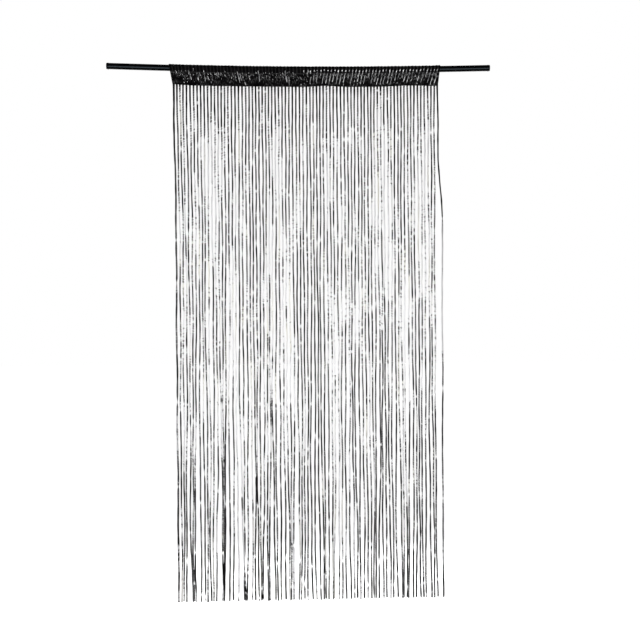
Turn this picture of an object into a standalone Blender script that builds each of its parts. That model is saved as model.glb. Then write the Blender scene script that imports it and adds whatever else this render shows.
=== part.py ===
"""A black and silver string curtain on a plain round rod, in the shape in which it hangs.

Metres, +Z up, +X along the rod, -Y towards the room. The origin is the centre of the rod's left
end face. The rod bows under the curtain. The heading is one knitted band folded into a pocket
over the rod, with a raised rib above every string. The strings hang from a narrow selvedge strip
just under the heading, each one free from there down.
"""

import math
import random

import bmesh
import bpy
from mathutils import Vector

# The rod
ROD_LENGTH = 1.432
ROD_RADIUS = 0.011
ROD_BOW = 0.0115
BOW_CURVE_MIDDLE = 0.3125
ROD_SIDES = 32
ROD_SPANS = 24

# The strings
STRING_COUNT = 79
STRING_PITCH = 0.01262
STRING_WIDTH = 0.0048
STRING_THICKNESS = 0.002
STRING_SPANS = 12
FIRST_STRING_X = 0.2484
HEM_LEVEL = -1.9915
END_UNEVENNESS = 0.003

# How the strings hang: in three layers, a little apart, each string free to sway along the rod
SEED = 2604
LAYERS = 3
LAYER_DEPTH = (0.0052, 0.0065)
LAYERS_PART_BY = 0.14
SWAY = (0.001, 0.0034)
LONG_WAVE = (0.9, 1.7)
MIDDLE_WAVE = (0.42, 0.62)
MIDDLE_SHARE = 0.3

# Neighbouring strings lean together into loose groups
# Columns: how far it leans the strings at the hem, wavelength along the rod, waves down the drop
GROUPINGS = (
    (0.0026, 0.147, 0.9),
    (0.0026, 0.061, -0.6),
)

# The heading is pushed together in places and stretched in others, and its ribs and strings with it
# Columns: string, counted from the left; how far it stands to the right of its even place
STRING_DRIFT = (
    (0, -0.0009),
    (3, -0.0046),
    (8, -0.0030),
    (12, -0.0014),
    (16, -0.0026),
    (22, 0.0004),
    (26, -0.0014),
    (30, -0.0040),
    (34, -0.0026),
    (40, 0.0),
    (46, -0.0008),
    (52, 0.0030),
    (57, 0.0024),
    (61, 0.0006),
    (65, 0.0012),
    (69, 0.0003),
    (77, 0.0014),
    (78, 0.0),
)

# The selvedge strip that the strings' roots are part of
STRIP_HEIGHT = 0.004
GAP = 0.0004

# The heading, whose levels are measured from the rod's axis
HEADING_HEIGHT = 0.075
POCKET_ROOM = 0.0118
CLOTH = 0.0014
RIB = 0.0012
LEFT_SELVEDGE = 0.0022
TOP_FLARE_LEFT = 0.0135
TOP_FLARE_RIGHT = 0.0085
FOOT_HALF_WIDTH = 0.0021
INNER_FOOT_HALF_WIDTH = 0.0006
FOOT_SEAM = 0.006
WALL_STEPS = 3
ARC_STEPS = 6
INNER_SPANS = 18

# Strings that have swung out of line, as seen in the hanging curtain
# Columns: string, counted from the left; how far it moves; the shares of its drop it moves between
SWUNG_STRINGS = (
    (1, 0.0045, 0.55, 1.0),
    (4, 0.0062, 0.70, 1.0),
    (6, -0.0050, 0.60, 1.0),
    (13, 0.0060, 0.45, 1.0),
    (15, -0.0055, 0.50, 1.0),
    (19, 0.0070, 0.35, 1.0),
    (28, -0.0060, 0.62, 1.0),
    (36, 0.0058, 0.66, 1.0),
    (47, -0.0064, 0.40, 1.0),
    (58, 0.0052, 0.58, 1.0),
    (69, -0.0048, 0.50, 1.0),
    (78, 0.0158, 0.12, 0.26),
    (78, -0.0062, 0.52, 0.77),
    (78, 0.0028, 0.82, 1.0),
)

# The strings near the left edge lean inwards: how far, how many of them, and by what share of the drop
LEFT_PULL = 0.0070
LEFT_PULLED = 16
LEFT_PULL_BY = 0.30

SHARP_ANGLE = math.radians(50)
JOIN_WITHIN = 1e-6
UPRIGHT = 0.9

CLOTH_TOP = POCKET_ROOM + CLOTH + RIB
FOOT_LEVEL = CLOTH_TOP - HEADING_HEIGHT
STRIP_LEVEL = FOOT_LEVEL - GAP - STRIP_HEIGHT
FIRST_SHIFT = STRING_DRIFT[0][1]
LAST_SHIFT = STRING_DRIFT[-1][1]
LAST_STRING_X = FIRST_STRING_X + STRING_PITCH * (STRING_COUNT - 1)
HEADING_LEFT = FIRST_STRING_X + FIRST_SHIFT - STRING_WIDTH / 2 - LEFT_SELVEDGE
HEADING_RIGHT = LAST_STRING_X + LAST_SHIFT + STRING_WIDTH / 2


def clear_scene():
    """Removes every object that the scene starts with."""
    for obj in list(bpy.data.objects):
        bpy.data.objects.remove(obj)


def finish_material(name, colour, roughness, metallic):
    """A plain Principled material."""
    material = bpy.data.materials.new(name)
    material.use_nodes = True
    shader = material.node_tree.nodes["Principled BSDF"]
    shader.inputs["Base Color"].default_value = (*colour, 1.0)
    shader.inputs["Roughness"].default_value = roughness
    shader.inputs["Metallic"].default_value = metallic
    return material


def add_piece(name, bm, material, collection):
    """Makes a named object of a finished bmesh, shaded smooth between its sharp edges."""
    mesh = bpy.data.meshes.new(name)
    bm.to_mesh(mesh)
    bm.free()
    mesh.shade_smooth()
    mesh.set_sharp_from_angle(angle=SHARP_ANGLE)
    mesh.materials.append(material)
    piece = bpy.data.objects.new(name, mesh)
    collection.objects.link(piece)
    return piece


def bow(x):
    """How far the rod's axis stands above the line between its ends, which is never above it.

    It is the curve of a bar that rests on its two ends and carries an even load, 0 at both ends
    and the whole bow at the middle.
    """
    along = x / ROD_LENGTH
    return -ROD_BOW * (along - 2 * along**3 + along**4) / BOW_CURVE_MIDDLE


def smooth_step(value):
    """0 below 0, 1 above 1, and a smooth rise between."""
    share = min(max(value, 0.0), 1.0)
    return share * share * (3 - 2 * share)


def build_rod(material, collection):
    """A round bar cut across in even spans, let down by the bow, with its end faces upright."""
    bm = bmesh.new()
    bmesh.ops.create_cone(
        bm,
        cap_ends=True,
        segments=ROD_SIDES,
        radius1=ROD_RADIUS,
        radius2=ROD_RADIUS,
        depth=ROD_LENGTH,
    )
    turn = Vector((0, 0, 1)).rotation_difference(Vector((1, 0, 0))).to_matrix()
    bmesh.ops.rotate(bm, verts=bm.verts, cent=(0, 0, 0), matrix=turn)
    bmesh.ops.translate(bm, verts=bm.verts, vec=(ROD_LENGTH / 2, 0, 0))
    for span in range(1, ROD_SPANS):
        bmesh.ops.bisect_plane(
            bm,
            geom=bm.verts[:] + bm.edges[:] + bm.faces[:],
            plane_co=(ROD_LENGTH * span / ROD_SPANS, 0, 0),
            plane_no=(1, 0, 0),
        )
    for vertex in bm.verts:
        vertex.co.z += bow(vertex.co.x)
    return add_piece("rod", bm, material, collection)


def drift(number):
    """How far a string, or a place between two, stands to the right of its even place."""
    for (before, shift_before), (after, shift_after) in zip(STRING_DRIFT, STRING_DRIFT[1:]):
        if number <= after:
            share = smooth_step((number - before) / (after - before))
            return shift_before + (shift_after - shift_before) * share
    return LAST_SHIFT


def string_x(number):
    """Where a string leaves the selvedge, along the rod. Halves lie between two strings."""
    return FIRST_STRING_X + STRING_PITCH * number + drift(number)


def pocket_outline(arc_radius, foot_half_width, foot_level):
    """The pocket's section, front foot to back foot over the rod, as (y, z) from the rod's axis."""
    reach = math.hypot(foot_half_width, foot_level)
    foot_angle = math.atan2(foot_level, -foot_half_width)
    start = math.tau + foot_angle - math.acos(arc_radius / reach)
    end = math.pi - start
    arc = []
    for step in range(ARC_STEPS + 1):
        angle = start + (end - start) * step / ARC_STEPS
        arc.append((arc_radius * math.cos(angle), arc_radius * math.sin(angle)))
    front = []
    for step in range(WALL_STEPS):
        share = step / WALL_STEPS
        y = -foot_half_width + (arc[0][0] + foot_half_width) * share
        z = foot_level + (arc[0][1] - foot_level) * share
        front.append((y, z))
    back = [(-y, z) for y, z in reversed(front)]
    return front + arc + back


def heading_point(along, outline_point):
    """Puts a point of the section on the heading. along is its x at the foot."""
    y, z = outline_point
    share = (z - FOOT_LEVEL) / (CLOTH_TOP - FOOT_LEVEL)
    across = (along - HEADING_LEFT) / (HEADING_RIGHT - HEADING_LEFT)
    flare = TOP_FLARE_RIGHT * across - TOP_FLARE_LEFT * (1 - across)
    x = along + flare * share
    return Vector((x, y, z + bow(x)))


def face_rings():
    """The sections of the outside, left to right, raised by a rib above each string."""
    flat = pocket_outline(POCKET_ROOM + CLOTH, FOOT_HALF_WIDTH, FOOT_LEVEL)
    raised = pocket_outline(POCKET_ROOM + CLOTH + RIB, FOOT_HALF_WIDTH + RIB / 2, FOOT_LEVEL)
    rings = [(HEADING_LEFT, flat)]
    for number in range(STRING_COUNT):
        rings.append((string_x(number), raised))
        rings.append((string_x(number + 0.5), flat))
    rings[-1] = (HEADING_RIGHT, flat)
    return rings


def lining_rings():
    """The sections of the smooth inside, right to left."""
    lining = pocket_outline(POCKET_ROOM, INNER_FOOT_HALF_WIDTH, FOOT_LEVEL + FOOT_SEAM)
    span = (HEADING_RIGHT - HEADING_LEFT) / INNER_SPANS
    return [(HEADING_RIGHT - span * number, lining) for number in range(INNER_SPANS + 1)]


def build_heading(material, collection):
    """The knitted band as a pocket, open at both ends.

    A flat grid has its rows wrapped round the rod. Its columns run out along the outside and come
    back along the inside, where the last one meets the first.
    """
    rings = face_rings() + lining_rings()
    around = len(rings[0][1])
    bm = bmesh.new()
    bmesh.ops.create_grid(bm, x_segments=len(rings), y_segments=around, size=1)
    for vertex in bm.verts:
        along, outline = rings[round((vertex.co.x + 1) / 2 * len(rings)) % len(rings)]
        place = round((vertex.co.y + 1) / 2 * around) % around
        vertex.co = heading_point(along, outline[place])
    bmesh.ops.remove_doubles(bm, verts=bm.verts, dist=JOIN_WITHIN)
    bmesh.ops.recalc_face_normals(bm, faces=bm.faces)
    return add_piece("heading", bm, material, collection)


class StringHang:
    """How one string hangs: its layer, its slow waves, any swing, and where it is cut."""

    def __init__(self, number, dice):
        self.root = string_x(number)
        self.layer = number % LAYERS - 1
        self.depth = dice.uniform(*LAYER_DEPTH)
        self.long_wave = dice.uniform(*LONG_WAVE)
        self.middle_wave = dice.uniform(*MIDDLE_WAVE)
        self.long_phase = dice.uniform(0, math.tau)
        self.middle_phase = dice.uniform(0, math.tau)
        self.sway = dice.uniform(*SWAY)
        self.top = STRIP_LEVEL + bow(self.root)
        self.length = self.top - HEM_LEVEL - END_UNEVENNESS * dice.random()
        self.moves = [row[1:] for row in SWUNG_STRINGS if row[0] == number]
        self.pull = LEFT_PULL * smooth_step(1 - number / LEFT_PULLED)

    def centre(self, drop):
        """The string's middle at a drop below the selvedge."""
        share = drop / self.length
        freed = smooth_step(drop / LAYERS_PART_BY)
        long_turn = math.tau * drop / self.long_wave + self.long_phase
        middle_turn = math.tau * drop / self.middle_wave + self.middle_phase
        lean = self.sway * (math.sin(long_turn) + MIDDLE_SHARE * math.sin(middle_turn))
        for reach, wavelength, waves_down in GROUPINGS:
            lean += reach * math.sin(math.tau * (self.root / wavelength + share * waves_down))
        x = self.root + freed * share * lean + self.pull * smooth_step(share / LEFT_PULL_BY)
        for move, begin, end in self.moves:
            x += move * smooth_step((share - begin) / (end - begin))
        y = self.layer * self.depth * freed
        return Vector((x, y, self.top - drop))


def build_strings(material, collection):
    """The selvedge strip, cut across at each string's edges, and the strings drawn down from it."""
    bm = bmesh.new()
    bmesh.ops.create_cube(bm, size=1)
    size = Vector((HEADING_RIGHT - HEADING_LEFT, STRING_THICKNESS, STRIP_HEIGHT))
    bmesh.ops.scale(bm, verts=bm.verts, vec=size)
    centre = Vector(((HEADING_LEFT + HEADING_RIGHT) / 2, 0, STRIP_LEVEL + STRIP_HEIGHT / 2))
    bmesh.ops.translate(bm, verts=bm.verts, vec=centre)
    cuts = []
    for number in range(STRING_COUNT):
        cuts.append(string_x(number) - STRING_WIDTH / 2)
        cuts.append(string_x(number) + STRING_WIDTH / 2)
    for cut in cuts[:-1]:
        bmesh.ops.bisect_plane(
            bm,
            geom=bm.verts[:] + bm.edges[:] + bm.faces[:],
            plane_co=(cut, 0, 0),
            plane_no=(1, 0, 0),
        )
    string_of = bm.faces.layers.int.new("string")
    roots = []
    for face in bm.faces:
        place = face.calc_center_median()
        number = min(range(STRING_COUNT), key=lambda string: abs(place.x - string_x(string)))
        under_string = abs(place.x - string_x(number)) < STRING_WIDTH / 4
        if face.normal.z < -UPRIGHT and under_string:
            face[string_of] = number
            roots.append(face)
    for vertex in bm.verts:
        vertex.co.z += bow(vertex.co.x)
    dice = random.Random(SEED)
    hangs = [StringHang(number, dice) for number in range(STRING_COUNT)]
    ends = roots
    for span in range(STRING_SPANS):
        ends = bmesh.ops.extrude_discrete_faces(bm, faces=ends)["faces"]
        for face in ends:
            hang = hangs[face[string_of]]
            above = hang.centre(hang.length * span / STRING_SPANS)
            below = hang.centre(hang.length * (span + 1) / STRING_SPANS)
            for vertex in face.verts:
                vertex.co += below - above
    bmesh.ops.recalc_face_normals(bm, faces=bm.faces)
    return add_piece("strings", bm, material, collection)


def main():
    """Builds the curtain and its rod in one collection."""
    clear_scene()
    collection = bpy.data.collections.new("string_curtain")
    bpy.context.scene.collection.children.link(collection)
    enamel = finish_material("black_enamel", (0.012, 0.013, 0.015), 0.22, 0.0)
    knit = finish_material("black_knit", (0.022, 0.021, 0.024), 0.75, 0.0)
    tape = finish_material("black_silver_tape", (0.050, 0.050, 0.055), 0.6, 0.2)
    build_rod(enamel, collection)
    build_heading(knit, collection)
    build_strings(tape, collection)


main()
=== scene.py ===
"""The looks of a black and silver string curtain that hangs on its rod.

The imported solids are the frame: the rod, the heading's rod pocket and the 79 strings. Each is
dressed here by a finer piece in the same place. Metres, +X along the rod, +Z up, and -Y is the
side towards the room. Every string hangs along the line that its solid has.
"""

import logging
import math
import random
from collections.abc import Callable, Iterable, Iterator
from contextlib import contextmanager
from dataclasses import dataclass, field
from enum import Enum

import bmesh
import bpy
import numpy as np
from mathutils import Matrix, Vector, noise

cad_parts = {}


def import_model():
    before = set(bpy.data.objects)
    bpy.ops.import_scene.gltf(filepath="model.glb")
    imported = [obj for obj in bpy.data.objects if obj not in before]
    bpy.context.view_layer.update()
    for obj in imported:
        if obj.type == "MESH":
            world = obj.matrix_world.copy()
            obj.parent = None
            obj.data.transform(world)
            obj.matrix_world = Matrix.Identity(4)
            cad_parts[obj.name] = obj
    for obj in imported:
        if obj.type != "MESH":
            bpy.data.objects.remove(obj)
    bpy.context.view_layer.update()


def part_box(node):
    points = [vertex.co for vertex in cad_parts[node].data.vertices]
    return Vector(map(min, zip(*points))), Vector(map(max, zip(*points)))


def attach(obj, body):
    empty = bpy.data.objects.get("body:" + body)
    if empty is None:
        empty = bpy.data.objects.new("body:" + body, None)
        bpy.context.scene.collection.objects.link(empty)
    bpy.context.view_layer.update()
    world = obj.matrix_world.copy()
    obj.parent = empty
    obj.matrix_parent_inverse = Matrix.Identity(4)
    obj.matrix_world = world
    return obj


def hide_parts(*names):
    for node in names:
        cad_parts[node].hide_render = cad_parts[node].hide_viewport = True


logging.basicConfig(level=logging.INFO, format="%(levelname)s %(message)s")
LOG = logging.getLogger("string_curtain")

ROOT = "root"

# Two places this close, in metres, are one
TOUCH = 0.00001

# How much of its normal lies along the rod: at least this for an end face, at most this for a side
END_ON = 0.99
SIDE_ON = 0.1

# How the strings hang, as in the solids: metres, and metres along the drop
SEED = 2604
LAYERS = 3
LAYER_DEPTH = (0.0052, 0.0065)
LAYERS_PART_BY = 0.14
SWAY = (0.001, 0.0034)
LONG_WAVE = (0.9, 1.7)
MIDDLE_WAVE = (0.42, 0.62)
MIDDLE_SHARE = 0.3
END_UNEVENNESS = 0.003

# Columns: how far it leans the strings at the hem, wavelength along the rod, waves down the drop
GROUPINGS = (
    (0.0026, 0.147, 0.9),
    (0.0026, 0.061, -0.6),
)

# The heading is pushed together in places and stretched in others, and its strings with it
# Columns: string, counted from the left; how far it stands to the right of its even place
STRING_DRIFT = (
    (0, -0.0009),
    (3, -0.0046),
    (8, -0.0030),
    (12, -0.0014),
    (16, -0.0026),
    (22, 0.0004),
    (26, -0.0014),
    (30, -0.0040),
    (34, -0.0026),
    (40, 0.0),
    (46, -0.0008),
    (52, 0.0030),
    (57, 0.0024),
    (61, 0.0006),
    (65, 0.0012),
    (69, 0.0003),
    (77, 0.0014),
    (78, 0.0),
)

# Columns: string, counted from the left; how far it moves; the shares of its drop it moves between
SWUNG_STRINGS = (
    (1, 0.0045, 0.55, 1.0),
    (4, 0.0062, 0.70, 1.0),
    (6, -0.0050, 0.60, 1.0),
    (13, 0.0060, 0.45, 1.0),
    (15, -0.0055, 0.50, 1.0),
    (19, 0.0070, 0.35, 1.0),
    (28, -0.0060, 0.62, 1.0),
    (36, 0.0058, 0.66, 1.0),
    (47, -0.0064, 0.40, 1.0),
    (58, 0.0052, 0.58, 1.0),
    (69, -0.0048, 0.50, 1.0),
    (78, 0.0158, 0.12, 0.26),
    (78, -0.0062, 0.52, 0.77),
    (78, 0.0028, 0.82, 1.0),
)

# The strings near the left edge lean inwards: how far, how many of them, and by what share of the drop
LEFT_PULL = 0.0070
LEFT_PULLED = 16
LEFT_PULL_BY = 0.30

# Painted highlights: silver painted on the strings in patches where they should look lit, and, at
# negative strength, painted shade that takes their silver away. Columns: along the rod, height,
# half width, half height, strength
PAINTED_GLINT_PATCHES = (
    (0.390, -0.386, 0.034, 0.30, 1.1),
    (0.316, -0.629, 0.026, 0.22, 0.7),
    (0.633, -0.367, 0.019, 0.22, 1.0),
    (0.707, -0.479, 0.015, 0.15, 0.8),
    (0.812, -0.330, 0.019, 0.30, 1.0),
    (1.018, -0.442, 0.034, 0.41, 1.1),
    (1.175, -0.442, 0.026, 0.49, 0.9),
    (0.464, -0.909, 0.019, 0.34, 1.3),
    (0.363, -1.133, 0.015, 0.22, 0.9),
    (0.599, -0.834, 0.019, 0.30, 0.9),
    (0.666, -1.058, 0.022, 0.30, 1.3),
    (0.887, -0.685, 0.017, 0.19, 1.0),
    (0.943, -0.853, 0.019, 0.19, 1.0),
    (0.838, -1.040, 0.022, 0.22, 1.0),
    (1.224, -0.816, 0.026, 0.30, 0.8),
    (0.401, -1.357, 0.026, 0.22, 1.0),
    (0.966, -1.320, 0.015, 0.19, 1.0),
    (1.100, -1.096, 0.022, 0.30, 0.8),
    (1.100, -1.469, 0.019, 0.22, 1.0),
    (0.476, -1.656, 0.011, 0.45, 1.0),
    (0.850, -1.656, 0.022, 0.45, 0.8),
    (0.520, -1.525, 0.019, 0.19, 0.8),
    (0.670, -1.805, 0.015, 0.19, 0.8),
    (0.738, -0.990, 0.900, 0.26, -0.14),
    (0.775, -1.077, 0.015, 0.41, -1.6),
    (0.775, -0.460, 0.015, 0.20, -1.0),
    (0.775, -1.712, 0.015, 0.30, -1.2),
    (0.438, -1.805, 0.015, 0.37, -1.4),
    (0.707, -0.797, 0.019, 0.22, -1.0),
    (0.707, -0.274, 0.019, 0.15, -0.8),
    (0.550, -0.442, 0.019, 0.19, -0.9),
    (1.018, -1.749, 0.047, 0.19, -1.2),
    (1.130, -1.843, 0.026, 0.19, -1.0),
    (0.296, -1.805, 0.026, 0.22, -0.9),
    (0.632, -1.731, 0.019, 0.22, -0.9),
    (0.550, -1.787, 0.022, 0.22, -0.9),
    (1.186, -1.469, 0.019, 0.22, -0.9),
    (1.186, -1.040, 0.015, 0.22, -0.8),
    (0.924, -1.432, 0.019, 0.22, -0.8),
    (1.018, -1.264, 0.015, 0.15, -0.8),
)

# Where the heading's lower edge leaves its even line. Columns: along the rod, half width, rise
FOOT_WAVES = (
    (0.740, 0.700, 0.0026),
    (0.812, 0.048, 0.0040),
    (1.125, 0.070, 0.0034),
    (0.246, 0.050, 0.0034),
)

# The heading's levels of silver threads. Columns: highest and lowest upper end; shortest and longest;
# lean on the left and on the right; threads for each gap on the left and on the right; width
THREAD_ZONES = (
    (-0.0005, -0.0045, 0.005, 0.011, 0.00, 0.22, 0.02, 1.00, 0.0036),
    (-0.0090, -0.0180, 0.003, 0.020, -0.12, 0.24, 0.70, 1.30, 0.0020),
    (-0.0180, -0.0310, 0.003, 0.009, -0.30, 0.30, 1.60, 1.80, 0.0018),
    (-0.0270, -0.0330, 0.016, 0.030, -0.10, 0.21, 0.05, 0.75, 0.0027),
    (-0.0300, -0.0440, 0.004, 0.012, -0.10, 0.22, 0.60, 0.30, 0.0018),
    (-0.0500, -0.0560, 0.003, 0.007, -0.20, 0.16, 0.25, 0.50, 0.0022),
)

# The heading's longest silver threads. Columns: along the rod, top, length, lean of its top
LONG_GLINTS = (
    (0.489, -0.0100, 0.042, -0.16),
    (0.498, -0.0180, 0.026, -0.10),
    (0.567, -0.0060, 0.016, 0.04),
    (0.569, -0.0240, 0.024, 0.02),
    (0.667, -0.0050, 0.036, 0.00),
    (0.680, -0.0280, 0.034, 0.04),
    (0.512, -0.0500, 0.012, -0.30),
    (0.413, -0.0180, 0.012, -0.20),
    (0.345, -0.0330, 0.014, -0.06),
    (0.390, -0.0480, 0.008, 0.05),
)

Number = float | int
Colour = tuple[float, float, float]


class Term:
    """A shader socket that Python expressions can be written with."""

    def __init__(self, shading: "Shading", socket: bpy.types.NodeSocket) -> None:
        """Keeps the output socket, and the shading that new Math nodes are added to."""
        self.shading = shading
        self.socket = socket

    def _with(self, operation: str, *others: "Term | Number") -> "Term":
        """The result of one more Math node, which takes this and any further operands."""
        operands = dict(enumerate((self, *others)))
        return self.shading.node("ShaderNodeMath", {"operation": operation}, operands)

    def __add__(self, other: "Term | Number") -> "Term":
        """The sum."""
        return self._with("ADD", other)

    __radd__ = __add__

    def __mul__(self, other: "Term | Number") -> "Term":
        """The product."""
        return self._with("MULTIPLY", other)

    __rmul__ = __mul__

    def __sub__(self, other: "Term | Number") -> "Term":
        """The difference."""
        return self._with("SUBTRACT", other)

    def __rsub__(self, other: Number) -> "Term":
        """A number less this."""
        return self * -1 + other

    def __pow__(self, other: "Term | Number") -> "Term":
        """The power."""
        return self._with("POWER", other)

    def sine(self) -> "Term":
        """The sine of an angle in radians."""
        return self._with("SINE")

    def floor(self) -> "Term":
        """The whole number below the value."""
        return self._with("FLOOR")

    def size(self) -> "Term":
        """The value without its sign."""
        return self._with("ABSOLUTE")

    def most(self, other: "Term | Number") -> "Term":
        """The greater of two values."""
        return self._with("MAXIMUM", other)

    def rise(self, start: "Term | Number", end: "Term | Number") -> "Term":
        """A smooth step that leaves 0 where the value is start, and reaches 1 where it is end."""
        values = {"Value": self, "From Min": start, "From Max": end}
        return self.shading.node("ShaderNodeMapRange", {"interpolation_type": "SMOOTHSTEP"}, values)


class Shading:
    """Builds one procedural material."""

    def __init__(self, name: str) -> None:
        """Starts a material with a Principled shader.

        Args:
            name: The material's name.
        """
        self.material = bpy.data.materials.new(name)
        self.material.use_nodes = True
        self.tree = self.material.node_tree
        self.shader = self.tree.nodes["Principled BSDF"]

    def node(
        self,
        kind: str,
        settings: dict[str, object] | None = None,
        values: dict[str | int, object] | None = None,
        output: str | int = 0,
    ) -> Term:
        """Adds any node.

        Args:
            kind: The node's type.
            settings: Its properties, set first.
            values: Numbers, colours or Terms for its sockets, by name or number.
            output: Which output is wanted.

        Returns:
            The output.
        """
        made = self.tree.nodes.new(kind)
        for name, value in (settings or {}).items():
            setattr(made, name, value)
        for socket, value in (values or {}).items():
            self.feed(made.inputs[socket], value)
        return Term(self, made.outputs[output])

    def feed(self, socket: bpy.types.NodeSocket, value: object) -> None:
        """Sets or links one input socket.

        Args:
            socket: The input.
            value: A Term to link, or a number or colour to set.
        """
        if isinstance(value, Term):
            self.tree.links.new(value.socket, socket)
        elif isinstance(value, tuple) and len(value) == 3 and socket.type == "RGBA":
            socket.default_value = (*value, 1.0)
        else:
            socket.default_value = value

    def finish(self, **inputs: object) -> bpy.types.Material:
        """Sets the shader's inputs.

        Args:
            inputs: Values or Terms by socket name, with _ for a space.

        Returns:
            The finished material.
        """
        for name, value in inputs.items():
            self.feed(self.shader.inputs[name.replace("_", " ")], value)
        return self.material

    def attribute(self, name: str) -> Term:
        """A float attribute of the piece's mesh."""
        return self.node("ShaderNodeAttribute", {"attribute_name": name}, output="Fac")

    def vector(self, x: "Term | Number", y: "Term | Number", z: "Term | Number") -> Term:
        """A vector made of three parts."""
        return self.node("ShaderNodeCombineXYZ", None, {0: x, 1: y, 2: z})

    def place(self) -> Term:
        """The piece's own coordinates, in metres."""
        return self.node("ShaderNodeTexCoord", output="Object")

    def grain(self, at: Term, scale: float, detail: float = 2.0) -> Term:
        """Noise about 0.5 at a place, with so many lumps for each unit, and octaves of detail."""
        values = {"Vector": at, "Scale": scale, "Detail": detail}
        return self.node("ShaderNodeTexNoise", None, values)

    def blend(self, share: Term, low: "Term | Colour", high: "Term | Colour") -> Term:
        """A mix of two colours: a share of 0 gives low, and 1 gives high."""
        settings = {"data_type": "RGBA"}
        return self.node("ShaderNodeMix", settings, {0: share, 6: low, 7: high}, output=2)

    def bump(self, height: Term, distance: float, strength: float) -> Term:
        """A normal tilted by a height from 0 to 1: distance is how high 1 stands, in metres."""
        values = {"Height": height, "Distance": distance, "Strength": strength}
        return self.node("ShaderNodeBump", None, values)


@dataclass(frozen=True)
class RodEnamel:
    """Black stoved enamel on a drawn steel tube."""

    deep: Colour = (0.0012, 0.0014, 0.0018)
    worn: Colour = (0.0040, 0.0045, 0.0055)
    roughness: tuple[float, float] = (0.24, 0.32)
    dust_roughness: float = 0.08
    plug_roughness: float = 0.35
    draw_scale: tuple[float, float, float] = (6.0, 260.0, 260.0)
    peel_scale: float = 420.0
    dust_scale: float = 35.0
    relief: float = 0.00012
    lustre: float = 0.26
    tint: Colour = (0.72, 0.87, 1.0)

    def material(self) -> bpy.types.Material:
        """Builds it: a faint orange peel, long draw marks and a little dust.

        Returns:
            The enamel.
        """
        sh = Shading("rod_enamel")
        at = sh.place()
        stretched = sh.node("ShaderNodeMapping", None, {"Vector": at, "Scale": self.draw_scale})
        draw = sh.grain(stretched, 1.0, 3.0)
        peel = sh.grain(at, self.peel_scale, 1.0)
        dust = sh.grain(at, self.dust_scale, 4.0).rise(0.52, 0.8)
        low, high = self.roughness
        rough = low + (high - low) * draw + self.dust_roughness * dust
        return sh.finish(
            Base_Color=sh.blend(dust, self.deep, self.worn),
            Roughness=rough + self.plug_roughness * sh.attribute("plug"),
            Normal=sh.bump(peel * 0.6 + draw * 0.4, self.relief, 0.25),
            Specular_IOR_Level=self.lustre,
            Specular_Tint=self.tint,
        )


@dataclass(frozen=True)
class Yarn:
    """What the heading and the strings are knitted of: matt black yarn with a silver film thread."""

    black: Colour = (0.0014, 0.0012, 0.0016)
    faded: Colour = (0.009, 0.008, 0.009)
    worn: Colour = (0.030, 0.028, 0.032)
    silver: Colour = (0.95, 0.95, 0.96)
    warm_silver: Colour = (0.93, 0.92, 0.84)
    matt: float = 0.85
    film: float = 0.36
    lustre: float = 0.05

    def roughness(self, silver: Term) -> Term:
        """Matt where the yarn is black, and glossier where it is silver."""
        return self.matt - (self.matt - self.film) * silver


@dataclass(frozen=True)
class StringNoise:
    """Noise that runs down the strings, and differs from string to string and face to face."""

    lumps: float
    by_string: float
    by_face: float
    detail: float = 1.0

    def read(self, sh: Shading, along: Term) -> Term:
        """Reads it for one material.

        Args:
            sh: The material.
            along: Distances down the string.

        Returns:
            The noise, about 0.5.
        """
        number = sh.attribute("number") * self.by_string
        side = sh.attribute("side") * self.by_face
        return sh.grain(sh.vector(along * self.lumps, number, side), 1.0, self.detail)


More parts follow.
